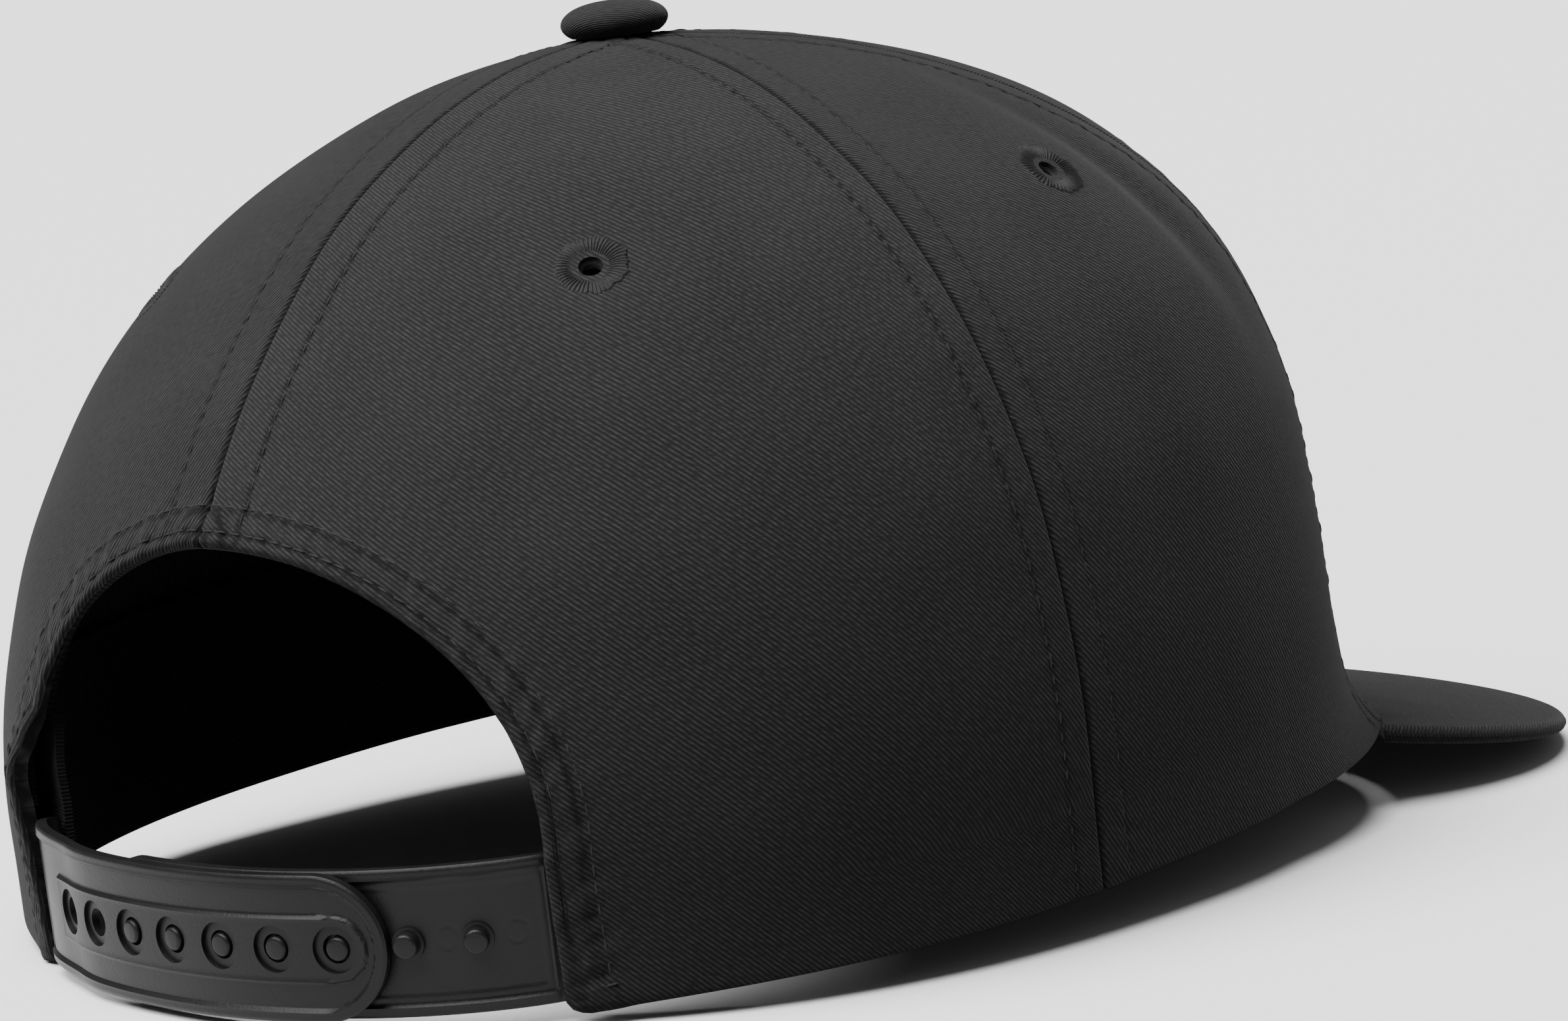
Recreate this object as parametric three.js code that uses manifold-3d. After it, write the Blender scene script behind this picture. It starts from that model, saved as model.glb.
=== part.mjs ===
// A five-panel snapback cap, in millimetres.
// It is shaped with the head's rim plane level, then the whole cap is tipped back
// until its back edge and the front of its peak stand on one level surface.
// +Z is up, the peak points to -Y, and the wearer's right is -X.
// Turns go round the crown in degrees: 0 at the back, 90 on the wearer's right, 180 in front.
import * as THREE from "three";
import Module from "manifold-3d";

// The crown
const rimLength = 185.2; // from the back to the front of the head opening
const rimWidth = 176.4; // across the head opening
const rimSquareness = 2.39; // 2 would be an ellipse
const crownHeight = 112.6; // from the rim to the top
const apexForward = 4.8; // the top lies this far ahead of the middle of the rim
const uprightHeight = 11.4; // the cloth stands straight up over the rim this far
const clothWall = 1.3;
const flareReach = 7; // the front leans out this far where it meets the peak
const flareHeight = 9; // the lean dies away over about this height
const fit = 0.3; // gap kept between pieces that are sewn or laid together
const bandGap = 0.45; // gap from the cloth to the sweatband
const sewnGap = 0.95; // gap from the cloth to the hem and to the strap's sewn ends

// How each side of the crown rounds over, as exponents of its profile
const roundness = {
  back: { inward: 2.025, upward: 1.993 },
  side: { inward: 1.766, upward: 2.638 },
  front: { inward: 1.815, upward: 3.941 },
};

// Turns of the seams between the panels
const sideSeamTurn = 85.1; // back panel to side panel
const frontSeamTurn = 134.3; // side panel to front panel

// Creases where the soft side panels meet the stiff front panel.
// Turns are degrees; heights, depths and widths are shares of the crown's height.
const dents = [
  { turn: 121.2, height: 0.75, deep: 0.017, halfTurn: 3.4, halfHeight: 0.13 },
  { turn: -121.2, height: 0.75, deep: 0.012, halfTurn: 3.4, halfHeight: 0.12 },
];

// The arch over the strap. The closed strap pulls its left leg in, towards the middle seam.
// Each leg has its distance from the middle seam, stands straight up to its own height,
// and hangs under the rim by its own drop.
const archHeight = 57;
const archSides = {
  right: { reach: 54.5, leg: 19.1, squareness: 2.12, drop: 1.2 },
  left: { reach: 36.5, leg: 26, squareness: 1.9, drop: 1.8 },
};
const archSplay = 0.6; // each leg is this much further out at its foot
const hemWidth = 7;
const hemThick = 0.9;

// The sweatband
const bandHeight = 32;
const bandThick = 1.2;
const bandLift = 1; // its lower edge stays this far above the rim

// The top button and its shank
const buttonWidth = 15.4;
const buttonHeight = 4.9;
const shankRadius = 2.6;

// The stitched eyelets
const eyeletWidth = 9;
const eyeletThick = 0.7;
const eyeletHole = 2.4;
const threadWall = 0.8; // thread round the hole, through the cloth
// Each height is a share of the crown's height, and each turn is in degrees
const eyelets = [
  { name: "eyelet_back_right", panel: "back_panel_right", turn: 42.3, height: 0.781 },
  { name: "eyelet_back_left", panel: "back_panel_left", turn: -40, height: 0.755 },
  { name: "eyelet_side_right", panel: "side_panel_right", turn: 108.7, height: 0.795 },
  { name: "eyelet_side_left", panel: "side_panel_left", turn: -108.7, height: 0.795 },
];

// The peak
const peakWidth = 157;
const peakLength = 61.4; // from the front of the rim to its own front edge
const peakRounding = 61.3; // from its widest line to its front edge
const peakSquareness = 2.06;
const peakThick = 2.6;
const peakDrop = 0.4; // its top lies this far under the rim in front
const peakSlope = 0.215; // fall over run, towards the front
const peakBow = 3.5; // its sides hang this much lower than its middle
const peakBowPower = 1.7;
const peakEndWidth = 2; // width of the peak's ends, beside the head

// The strap
const strapHeight = 19.2;
const strapThick = 1.6;
const strapDrop = 0.3; // its lower edge hangs this far under the rim
const strapBow = 7.6; // it bulges this far behind the crown's own curve
const strapTab = 11; // length sewn inside each foot of the arch
const holeCount = 7;
const holePitch = 8.9;
const pegRadius = 1.6;
const counterRadius = 3.1;
const counterDepth = 0.6;
const firstHole = 17.8; // from the arch's left leg to the hole next to it
const holesEnd = 6.9; // from the last hole to the free end
const emptyHoles = 2; // holes past the last peg, on the wearer's left
const pegsEnd = 8.2; // from the first peg to the under strap's own end

const rad = THREE.MathUtils.degToRad;
const { lerp, smoothstep } = THREE.MathUtils;
const up = new THREE.Vector3(0, 0, 1);
const signedPower = (value, power) => Math.sign(value) * Math.abs(value) ** power;

const uprightShare = 0.12; // share of a climb that is the upright cloth at the rim
const hubRadius = shankRadius + 2 * fit; // the panels end round the button's shank
const sewnDepth = clothWall + sewnGap; // the hem and the strap's sewn ends lie this deep
const rowCrowding = 1.5; // rows lie closer together towards the rim, where the front leans out

// Blends a back, side and front value by the turn
function around(key, cosine) {
  const { back, side, front } = roundness;
  const slant = (back[key] - front[key]) / 2;
  const swell = (back[key] + front[key]) / 2 - side[key];
  return side[key] + slant * cosine + swell * cosine * cosine;
}

// Extra lean of the lower edge in front
function flareAt(turn, height) {
  const frontness = THREE.MathUtils.clamp((-Math.cos(rad(turn)) - 0.3) / 0.7, 0, 1);
  return flareReach * frontness * Math.exp(-height / flareHeight);
}

// Depth of the creases at a turn and a height above the rim
function dentAt(turn, height) {
  let depth = 0;
  for (const dent of dents) {
    const across = (((turn - dent.turn + 540) % 360) - 180) / dent.halfTurn;
    const along = (height / crownHeight - dent.height) / dent.halfHeight;
    depth += dent.deep * crownHeight * Math.exp(-across * across - along * along);
  }
  return depth;
}

// The climb runs from -uprightShare at the rim, over 0 where the cloth starts to round, to 1 at the top
function heightOf(turn, climb) {
  if (climb < 0) return uprightHeight * (1 + climb / uprightShare);
  const upward = around("upward", Math.cos(rad(turn)));
  return uprightHeight + (crownHeight - uprightHeight) * Math.sin((climb * Math.PI) / 2) ** (2 / upward);
}

function climbOf(turn, height) {
  if (height < uprightHeight) return uprightShare * (height / uprightHeight - 1);
  const upward = around("upward", Math.cos(rad(turn)));
  const share = (height - uprightHeight) / (crownHeight - uprightHeight);
  return (Math.asin(Math.min(1, share ** (upward / 2))) * 2) / Math.PI;
}

// A point of the crown's outer face
function facePoint(turn, climb) {
  const cosine = Math.cos(rad(turn));
  const sine = Math.sin(rad(turn));
  const height = heightOf(turn, climb);
  const inward = around("inward", cosine);
  const reach = climb > 0 ? Math.max(0, Math.cos((climb * Math.PI) / 2)) ** (2 / inward) : 1;
  const x = (-rimWidth / 2) * signedPower(sine, 2 / rimSquareness);
  const y = (rimLength / 2) * signedPower(cosine, 2 / rimSquareness);
  const point = new THREE.Vector3(x * reach, (y + apexForward) * reach - apexForward, height);
  const outward = new THREE.Vector3(x, y + apexForward, 0).normalize();
  return point.addScaledVector(outward, flareAt(turn, height) - dentAt(turn, height));
}

function faceNormal(turn, climb) {
  const step = 0.4;
  const rise = 0.004;
  const low = Math.min(climb, 1 - 2 * rise);
  const along = facePoint(turn + step, low).sub(facePoint(turn - step, low));
  const upwards = facePoint(turn, low + rise).sub(facePoint(turn, low - rise));
  return along.cross(upwards).normalize();
}

// A point under the crown's outer face, moved in by some depth
function crownPoint(turn, climb, depth = 0) {
  return facePoint(turn, climb).addScaledVector(faceNormal(turn, climb), -depth);
}

// The value between low and high at which a falling or rising function passes a target
function solve(target, low, high, valueAt) {
  const rising = valueAt(high) > valueAt(low);
  for (let i = 0; i < 50; i++) {
    const middle = (low + high) / 2;
    if (valueAt(middle) < target === rising) low = middle;
    else high = middle;
  }
  return (low + high) / 2;
}

// The turn at which the crown, at one height, lies this far to the wearer's right
function turnAcross(across, height) {
  const reach = (turn) => -facePoint(turn, climbOf(turn, height)).x;
  return Math.sign(across) * solve(Math.abs(across), 0, 88, reach);
}

// A point along one half of the arch, grown outwards by some width.
// The angle is 90 at the middle seam, 0 at the top of the leg and -90 at its foot.
function archPlace(side, angle, grow) {
  const { reach, leg, squareness, drop } = archSides[side];
  const sign = side === "right" ? 1 : -1;
  const down = Math.max(0, -angle / 90);
  const round = rad(Math.max(0, angle));
  const across = (reach + grow) * Math.cos(round) ** (2 / squareness) + archSplay * down;
  const arc = (archHeight - leg + grow) * Math.sin(round) ** (2 / squareness);
  const height = lerp(leg, -drop, down) + arc;
  const turn = turnAcross(sign * across, height);
  return { turn, climb: climbOf(turn, height) };
}

// How far the arch's leg stands from the middle seam, on the side that a turn or a place lies
const legReach = (place) => archSides[place < 0 ? "left" : "right"].reach;

// A closed solid between an outer and an inner sheet, each given by column and row
function closedSheet(columns, rows, outer, inner) {
  const positions = [];
  const faces = [];
  const index = (side, i, j) => side * (columns + 1) * (rows + 1) + i * (rows + 1) + j;
  for (const sheet of [outer, inner]) {
    for (let i = 0; i <= columns; i++) {
      for (let j = 0; j <= rows; j++) positions.push(...sheet(i, j).toArray());
    }
  }
  const quad = (a, b, c, d) => faces.push(a, b, c, a, c, d);
  for (let i = 0; i < columns; i++) {
    for (let j = 0; j < rows; j++) {
      quad(index(0, i, j), index(0, i + 1, j), index(0, i + 1, j + 1), index(0, i, j + 1));
      quad(index(1, i, j), index(1, i, j + 1), index(1, i + 1, j + 1), index(1, i + 1, j));
    }
    quad(index(0, i + 1, 0), index(0, i, 0), index(1, i, 0), index(1, i + 1, 0));
    quad(index(0, i, rows), index(0, i + 1, rows), index(1, i + 1, rows), index(1, i, rows));
  }
  for (let j = 0; j < rows; j++) {
    quad(index(0, 0, j), index(0, 0, j + 1), index(1, 0, j + 1), index(1, 0, j));
    quad(index(0, columns, j + 1), index(0, columns, j), index(1, columns, j), index(1, columns, j + 1));
  }
  const geometry = new THREE.BufferGeometry();
  geometry.setAttribute("position", new THREE.Float32BufferAttribute(positions, 3));
  geometry.setIndex(faces);
  return geometry;
}

const wasm = await Module();
wasm.setup();

function solidFrom(geometry) {
  const vertices = [];
  const numbers = new Map();
  const position = geometry.getAttribute("position");
  const order = geometry.index ? [...geometry.index.array] : [...Array(position.count).keys()];
  const triangles = order.map((vertex) => {
    const corner = new THREE.Vector3().fromBufferAttribute(position, vertex);
    const key = corner.toArray().map((value) => Math.round(value * 1e4)).join();
    if (!numbers.has(key)) {
      numbers.set(key, numbers.size);
      vertices.push(...corner.toArray());
    }
    return numbers.get(key);
  });
  const whole = [];
  for (let i = 0; i < triangles.length; i += 3) {
    const [a, b, c] = triangles.slice(i, i + 3);
    if (a !== b && b !== c && c !== a) whole.push(a, b, c);
  }
  return new wasm.Manifold(
    new wasm.Mesh({
      numProp: 3,
      vertProperties: new Float32Array(vertices),
      triVerts: new Uint32Array(whole),
    }),
  );
}

function geometryFrom(solid) {
  const mesh = solid.getMesh();
  const geometry = new THREE.BufferGeometry();
  geometry.setAttribute("position", new THREE.Float32BufferAttribute(mesh.vertProperties, 3));
  geometry.setIndex([...mesh.triVerts]);
  return geometry;
}

// A round bar from one point along a direction, as a solid
function barSolid(from, direction, radius, length, sides = 12) {
  const bar = new THREE.CylinderGeometry(radius, radius, length, sides);
  bar.translate(0, length / 2, 0);
  const turn = new THREE.Quaternion().setFromUnitVectors(new THREE.Vector3(0, 1, 0), direction);
  bar.applyQuaternion(turn);
  bar.translate(from.x, from.y, from.z);
  return solidFrom(bar);
}

// A panel between two turns. Its columns are shares of the way from one seam to the other,
// and lowest gives the climb of each column's lower end.
function panelGeometry(fromTurn, toTurn, shares, rows, lowest) {
  const place = (i, j) => {
    const middle = lerp(fromTurn, toTurn, shares[i]);
    const reachAt = (climb) => {
      const point = facePoint(middle, climb);
      return Math.hypot(point.x, point.y + apexForward);
    };
    const highest = solve(hubRadius, 0.5, 1, reachAt);
    const climb = lerp(lowest[i], highest, (j / rows) ** rowCrowding);
    const inset = THREE.MathUtils.radToDeg(fit / 2 / reachAt(climb));
    return { turn: lerp(fromTurn + inset, toTurn - inset, shares[i]), climb };
  };
  const at = (depth) => (i, j) => {
    const { turn, climb } = place(i, j);
    return crownPoint(turn, climb, depth);
  };
  return closedSheet(shares.length - 1, rows, at(0), at(clothWall));
}

function evenShares(count) {
  return Array.from({ length: count + 1 }, (_, i) => i / count);
}

// A back panel: columns follow the arch and its leg down to the foot, then go on to the side seam
function backPanelGeometry(side) {
  const archSteps = 11;
  const legSteps = 4;
  const footSteps = 7;
  const columns = [];
  for (let k = 0; k <= archSteps; k++) columns.push(archPlace(side, 90 * (1 - k / archSteps), 0));
  for (let k = 1; k <= legSteps; k++) columns.push(archPlace(side, (-90 * k) / legSteps, 0));
  const foot = columns.at(-1);
  const seam = Math.sign(foot.turn) * sideSeamTurn;
  for (let k = 1; k <= footSteps; k++) {
    const share = k / footSteps;
    const climb = lerp(-uprightShare, foot.climb, (1 - share) ** 4);
    columns.push({ turn: lerp(foot.turn, seam, share), climb });
  }
  if (seam < 0) columns.reverse();
  const from = Math.min(0, seam);
  const to = Math.max(0, seam);
  const shares = columns.map(({ turn }) => (turn - from) / (to - from));
  const lowest = columns.map(({ climb }) => climb);
  return panelGeometry(from, to, shares, 14, lowest);
}

function plainPanelGeometry(from, to, columns) {
  const shares = evenShares(columns);
  return panelGeometry(from, to, shares, 15, shares.map(() => -uprightShare));
}

// Cuts the vent holes of the eyelets that lie on one panel
function withVents(name, geometry) {
  let solid = solidFrom(geometry);
  for (const eyelet of eyelets.filter(({ panel }) => panel === name)) {
    const climb = climbOf(eyelet.turn, eyelet.height * crownHeight);
    const outward = faceNormal(eyelet.turn, climb);
    const from = crownPoint(eyelet.turn, climb, 2 * clothWall);
    const radius = eyeletHole / 2 + threadWall + fit;
    solid = solid.subtract(barSolid(from, outward, radius, 3 * clothWall));
  }
  return geometryFrom(solid);
}

// A stitched eyelet: a flat ring of thread outside, and thread round the hole through the cloth
function eyeletGeometry() {
  const hole = eyeletHole / 2;
  const thread = hole + threadWall;
  const rim = eyeletWidth / 2;
  const profile = [
    [hole, -clothWall - fit],
    [thread, -clothWall - fit],
    [thread, fit],
    [rim, fit],
    [rim - eyeletThick / 2, fit + eyeletThick],
    [thread, fit + eyeletThick],
    [hole, fit],
    [hole, -clothWall - fit],
  ];
  return new THREE.LatheGeometry(profile.map(([x, y]) => new THREE.Vector2(x, y)), 16);
}

// The button: a flattened dome with a tucked-in lower edge, on a shank through the panels
function buttonGeometry() {
  const radius = buttonWidth / 2;
  const shankLength = clothWall + 2 * fit;
  const profile = [[0, -shankLength], [shankRadius, -shankLength], [shankRadius, 0]];
  const steps = 8;
  const tuck = -40; // the side starts this many degrees under its widest line
  const bottom = Math.sin(rad(tuck));
  for (let k = 0; k < steps; k++) {
    const angle = rad(lerp(tuck, 90, k / steps));
    const rise = (Math.sin(angle) - bottom) / (1 - bottom);
    profile.push([radius * Math.cos(angle) ** 0.8, buttonHeight * rise]);
  }
  profile.push([0, buttonHeight]);
  return new THREE.LatheGeometry(profile.map(([x, y]) => new THREE.Vector2(x, y)), 24);
}

// The folded hem inside the arch, down to just above the strap on both sides
function hemGeometry() {
  const columns = 28;
  const rows = 2;
  const strapTop = strapHeight - strapDrop + 2 * fit;
  const angleAt = (side, grow) => {
    const { leg, squareness, drop } = archSides[side];
    if (strapTop < leg) return 90 * ((strapTop + drop) / (leg + drop) - 1);
    const share = ((strapTop - leg) / (archHeight - leg + grow)) ** (squareness / 2);
    return THREE.MathUtils.radToDeg(Math.asin(share));
  };
  const at = (depth) => (i, j) => {
    const grow = lerp(fit, hemWidth, j / rows);
    const side = 2 * i < columns ? "left" : "right";
    const fromFoot = 1 - Math.abs((2 * i) / columns - 1);
    const { turn, climb } = archPlace(side, lerp(angleAt(side, grow), 90, fromFoot), grow);
    return crownPoint(turn, climb, depth);
  };
  return closedSheet(columns, rows, at(sewnDepth), at(sewnDepth + hemThick));
}

// The sweatband: it lies on the cloth, and steps in over the hem and the strap's ends
function bandGeometry() {
  const columns = 54;
  const rows = 6;
  const onCloth = clothWall + bandGap;
  const onStrap = sewnDepth + strapThick + fit;
  const setBack = 1 + archSplay; // from the arch's legs to the band's ends
  const first = turnAcross(archSides.right.reach + setBack, bandLift);
  const last = turnAcross(-archSides.left.reach - setBack, bandLift) + 360;
  const at = (thick) => (i, j) => {
    const turn = lerp(first, last, i / columns);
    const height = bandLift + bandHeight * (j / rows) ** rowCrowding;
    const climb = climbOf(turn, height);
    const across = -facePoint(turn, climb).x;
    const isBack = Math.cos(rad(turn)) > 0;
    const clear = legReach(across) + strapTab;
    const step = isBack ? 1 - smoothstep(Math.abs(across), clear + 1.5, clear + 8) : 0;
    return crownPoint(turn, climb, lerp(onCloth, onStrap, step) + thick);
  };
  return closedSheet(columns, rows, at(0), at(bandThick));
}

// Height of the peak's upper face
function peakTop(x, y) {
  const bow = peakBow * Math.abs(x / (peakWidth / 2)) ** peakBowPower;
  return peakSlope * (y + rimLength / 2) - bow - peakDrop;
}

// The peak: rays from a point inside the head run from the crown's front to the peak's outline
function peakGeometry() {
  const columns = 30;
  const rows = 6;
  const widest = -rimLength / 2 - peakLength + peakRounding;
  const centre = new THREE.Vector2(0, -rimLength / 5);
  const rimAt = (turn) => {
    const point = facePoint(turn, -uprightShare);
    const outward = new THREE.Vector2(point.x, point.y).sub(centre).normalize();
    return { point: new THREE.Vector2(point.x, point.y).addScaledVector(outward, fit), outward };
  };
  const isInside = (x, y) => {
    const across = Math.abs(x / (peakWidth / 2)) ** peakSquareness;
    return across + Math.abs((y - widest) / peakRounding) ** peakSquareness < 1;
  };
  const widthAt = (turn) => {
    const { point, outward } = rimAt(turn);
    const reach = (width) => {
      const spot = point.clone().addScaledVector(outward, width);
      return isInside(spot.x, spot.y) ? 0 : 1;
    };
    return reach(peakEndWidth / 4) ? 0 : solve(0.5, peakEndWidth / 4, 2 * peakLength, reach);
  };
  const first = solve(peakEndWidth, 100, 150, widthAt);
  const at = (depth) => (i, j) => {
    const turn = lerp(first, 360 - first, i / columns);
    const { point, outward } = rimAt(turn);
    const spot = point.addScaledVector(outward, (widthAt(turn) * (rows - j)) / rows);
    return new THREE.Vector3(spot.x, spot.y, peakTop(spot.x, spot.y) - depth);
  };
  return closedSheet(columns, rows, at(0), at(peakThick));
}

const strapMiddle = strapHeight / 2 - strapDrop; // height of the strap's middle line

// The strap's line, seen from above: across is measured to the wearer's right
function strapSpot(across, depth) {
  const turn = turnAcross(across, strapMiddle);
  const climb = climbOf(turn, strapMiddle);
  const { left, right } = archSides;
  const share = (2 * across + left.reach - right.reach) / (left.reach + right.reach);
  const bulge = strapBow * Math.max(0, 1 - share * share) ** 0.83;
  const outward = faceNormal(turn, climb);
  outward.z = 0;
  return facePoint(turn, climb).addScaledVector(outward.normalize(), bulge - sewnDepth - depth);
}

// A table of the strap's line, so that lengths can be walked along it.
// Lengths run from the end sewn on the wearer's left to the end sewn on the right.
const strapRoute = [];
{
  const steps = 160;
  for (let k = 0; k <= steps; k++) {
    const across = lerp(-archSides.left.reach - strapTab, archSides.right.reach + strapTab, k / steps);
    const spot = strapSpot(across, 0);
    const last = strapRoute.at(-1);
    const length = last ? last.length + Math.hypot(spot.x - last.spot.x, spot.y - last.spot.y) : 0;
    strapRoute.push({ across, spot, length });
  }
}

// How far to the wearer's right the strap is after some length
function strapAcross(length) {
  const next = strapRoute.findIndex((entry) => entry.length >= length);
  if (next <= 0) return next ? strapRoute.at(-1).across : strapRoute[0].across;
  const a = strapRoute[next - 1];
  const b = strapRoute[next];
  return lerp(a.across, b.across, (length - a.length) / (b.length - a.length));
}

// Place and outward direction on a strap: the outer strap lies over the under one
function strapPlace(length, depth) {
  const point = strapSpot(strapAcross(length), depth);
  const ahead = strapSpot(strapAcross(length + 1), depth);
  const behind = strapSpot(strapAcross(length - 1), depth);
  const along = ahead.sub(behind).setZ(0).normalize();
  return { point, outward: along.cross(up) };
}

// One strap, from its sewn end to its rounded free end
function strapSolid(sewnEnd, freeEnd, liftAt) {
  const columns = 30;
  const rows = 2;
  const radius = strapHeight / 2;
  const direction = Math.sign(freeEnd - sewnEnd);
  const roundSteps = 7;
  const stations = [];
  for (let k = 0; k <= columns - roundSteps; k++) {
    stations.push(lerp(sewnEnd, freeEnd - direction * radius, k / (columns - roundSteps)));
  }
  for (let k = 1; k <= roundSteps; k++) {
    stations.push(freeEnd - direction * radius * (1 - Math.sin(rad((86 * k) / roundSteps))));
  }
  if (direction < 0) stations.reverse();
  const at = (depth) => (i, j) => {
    const fromEnd = Math.abs(freeEnd - stations[i]);
    const missing = Math.max(0, radius - fromEnd);
    const half = Math.sqrt(radius * radius - missing * missing);
    const { point } = strapPlace(stations[i], depth - liftAt(stations[i]));
    return point.setZ(strapMiddle + half * ((2 * j) / rows - 1));
  };
  return solidFrom(closedSheet(stations.length - 1, rows, at(0), at(strapThick)));
}

const strapEnd = strapRoute.at(-1).length;
const holeAt = (k) => strapTab + firstHole + k * holePitch; // counted from the wearer's left
const outerLift = strapThick + fit; // the outer strap lies this far outside the under one
const underEnd = holeAt(emptyHoles) - pegsEnd;

// The outer strap climbs from its foot onto the under strap
function outerStrapLift(length) {
  return outerLift * smoothstep(length, strapTab, underEnd - 1);
}

function holesStrapGeometry() {
  let solid = strapSolid(0, holeAt(holeCount - 1) + holesEnd, outerStrapLift);
  for (let k = 0; k < holeCount; k++) {
    const lift = outerStrapLift(holeAt(k));
    const { point, outward } = strapPlace(holeAt(k), strapThick - lift);
    point.setZ(strapMiddle);
    const foot = point.clone().addScaledVector(outward, -strapThick);
    solid = solid.subtract(barSolid(foot, outward, pegRadius + fit, 3 * strapThick));
    const shelf = point.clone().addScaledVector(outward, strapThick - counterDepth);
    solid = solid.subtract(barSolid(shelf, outward, counterRadius, strapThick));
  }
  return geometryFrom(solid);
}

function pegsStrapGeometry() {
  let solid = strapSolid(strapEnd, underEnd, () => 0);
  for (let k = 0; k < holeCount; k++) {
    const { point, outward } = strapPlace(holeAt(emptyHoles + k), strapThick / 2);
    point.setZ(strapMiddle);
    solid = solid.add(barSolid(point, outward, pegRadius, strapThick / 2 + outerLift));
  }
  return geometryFrom(solid);
}

const cloth = () => new THREE.MeshStandardMaterial({ color: 0x26262a, roughness: 0.92, metalness: 0 });
const ribbedCloth = () => new THREE.MeshStandardMaterial({ color: 0x1c1c1f, roughness: 0.95, metalness: 0 });
const thread = () => new THREE.MeshStandardMaterial({ color: 0x1a1a1c, roughness: 0.8, metalness: 0 });
const plastic = () => new THREE.MeshStandardMaterial({ color: 0x2b2b2e, roughness: 0.5, metalness: 0 });

const cap = new THREE.Group();

function addPiece(name, geometry, material) {
  const mesh = new THREE.Mesh(geometry, material);
  mesh.name = name;
  cap.add(mesh);
  return mesh;
}

addPiece("front_panel", plainPanelGeometry(frontSeamTurn, 360 - frontSeamTurn, 16), cloth());
for (const [sign, word] of [[1, "right"], [-1, "left"]]) {
  const seams = [sign * sideSeamTurn, sign * frontSeamTurn].sort((a, b) => a - b);
  const sideName = `side_panel_${word}`;
  const backName = `back_panel_${word}`;
  addPiece(sideName, withVents(sideName, plainPanelGeometry(...seams, 9)), cloth());
  addPiece(backName, withVents(backName, backPanelGeometry(word)), cloth());
}
for (const { name, turn, height } of eyelets) {
  const climb = climbOf(turn, height * crownHeight);
  const eyelet = addPiece(name, eyeletGeometry(), thread());
  eyelet.position.copy(facePoint(turn, climb));
  eyelet.quaternion.setFromUnitVectors(new THREE.Vector3(0, 1, 0), faceNormal(turn, climb));
}
const button = addPiece("top_button", buttonGeometry(), cloth());
button.rotation.x = Math.PI / 2;
button.position.set(0, -apexForward, crownHeight + fit);
addPiece("arch_hem", hemGeometry(), cloth());
addPiece("sweatband", bandGeometry(), ribbedCloth());
addPiece("peak", peakGeometry(), cloth());
addPiece("strap_holes", holesStrapGeometry(), plastic());
addPiece("strap_pegs", pegsStrapGeometry(), plastic());

// Tips the cap back until its back half and its front half reach down equally far
function lowestPoints(tip) {
  const low = { front: Infinity, back: Infinity };
  const turned = new THREE.Matrix4().makeRotationX(tip);
  cap.updateMatrixWorld(true);
  for (const mesh of cap.children) {
    const { position } = mesh.geometry.attributes;
    for (let i = 0; i < position.count; i++) {
      const point = new THREE.Vector3().fromBufferAttribute(position, i);
      const half = point.applyMatrix4(mesh.matrix).y < 0 ? "front" : "back";
      low[half] = Math.min(low[half], point.applyMatrix4(turned).z);
    }
  }
  return low;
}

for (const mesh of cap.children) mesh.updateMatrix();
const tip = solve(0, rad(-20), 0, (angle) => {
  const { front, back } = lowestPoints(angle);
  return front - back;
});
const tipped = new THREE.Group();
tipped.add(cap);
cap.rotation.x = tip;
tipped.updateMatrixWorld(true);
const box = new THREE.Box3().setFromObject(tipped, true);
const middle = box.getCenter(new THREE.Vector3());
cap.position.set(-middle.x, -middle.y, -box.min.z);

export default tipped;
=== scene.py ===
# A five-panel snapback cap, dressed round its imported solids.
# The cap's own measures are in millimetres, as on a cutting plan; toScene turns them to metres.
import math

import bpy
import numpy as np
from mathutils import Matrix, Vector


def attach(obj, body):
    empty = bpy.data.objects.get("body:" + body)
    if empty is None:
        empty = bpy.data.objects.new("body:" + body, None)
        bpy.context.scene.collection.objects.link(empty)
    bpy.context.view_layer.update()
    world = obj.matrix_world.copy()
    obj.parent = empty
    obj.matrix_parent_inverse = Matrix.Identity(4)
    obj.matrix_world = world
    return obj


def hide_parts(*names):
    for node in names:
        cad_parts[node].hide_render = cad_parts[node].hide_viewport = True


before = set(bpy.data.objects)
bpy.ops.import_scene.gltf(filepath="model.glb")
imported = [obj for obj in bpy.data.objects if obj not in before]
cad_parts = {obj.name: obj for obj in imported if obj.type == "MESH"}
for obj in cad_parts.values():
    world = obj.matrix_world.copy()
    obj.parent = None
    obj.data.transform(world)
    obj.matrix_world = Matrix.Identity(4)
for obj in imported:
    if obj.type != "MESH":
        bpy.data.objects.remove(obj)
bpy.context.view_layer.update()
rng = np.random.default_rng(7)
print("frame loaded:", len(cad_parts), "solids")

# The crown's shape. inward and upward are exponents at the back, side and front.
crown = {
    "rimLength": 185.2,
    "rimWidth": 176.4,
    "squareness": 2.39,
    "height": 112.6,
    "apexForward": 4.8,
    "upright": 11.4,  # the cloth stands straight up this far
    "uprightShare": 0.12,
    "wall": 1.3,
    "flareReach": 7,
    "flareHeight": 9,
    "inward": (2.025, 1.766, 1.815),
    "upward": (1.993, 2.638, 3.941),
    "dents": ((121.2, 0.75, 0.017, 3.4, 0.13), (-121.2, 0.75, 0.012, 3.4, 0.12)),
    "tip": -3.42629,  # the whole cap leans back to rest on its peak and its strap side
    "shift": (0, 26.99108, 7.0259),
}
tipMatrix = np.array(Matrix.Rotation(math.radians(crown["tip"]), 3, "X"))


def toScene(points):
    return (np.asarray(points, float) @ tipMatrix.T + np.array(crown["shift"])) * 0.001


def lerp(a, b, share):
    return a + (b - a) * share


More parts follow.
